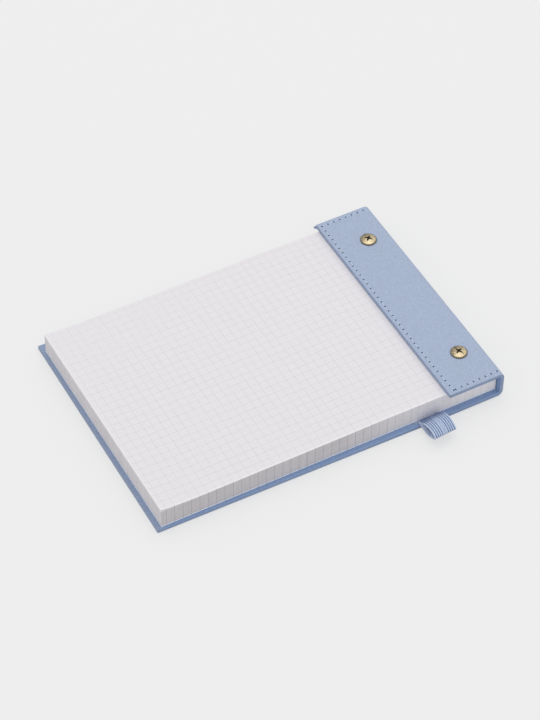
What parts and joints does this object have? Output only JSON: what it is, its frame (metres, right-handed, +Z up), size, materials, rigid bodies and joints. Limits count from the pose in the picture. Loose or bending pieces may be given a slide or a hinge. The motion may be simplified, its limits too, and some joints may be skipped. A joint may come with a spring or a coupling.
{
  "type": "refillable squared notebook",
  "caption": "Landscape notebook with a squared paper block held by binding screws under the stitched flap of a leatherette case, with an elastic pen loop.",
  "frame": {"origin": "on the flat underside of the back, midway between the spine and the free edge of the back, and midway between the two ends of the spine", "axes": "+X from the free end of the pages to the spine, +Y along the spine away from the pen loop, +Z up out of the table"},
  "size_m": [0.2134, 0.1686, 0.0192],
  "materials": {
    "leatherette": "matt, fine grain",
    "greyboard": "matt",
    "lining": "matt",
    "paper": "matt, printed with a faint grid",
    "brass": "antique, satin",
    "elastic": "ribbed"
  },
  "bodies": {
    "root": {"cover_skin": "leatherette", "back_board": "greyboard", "spine_board": "greyboard", "flap_board": "greyboard", "lining": "lining", "paper_block": "paper", "binding_screws": "brass", "binding_posts": "brass", "pen_loop": "elastic"}
  },
  "joints": []
}
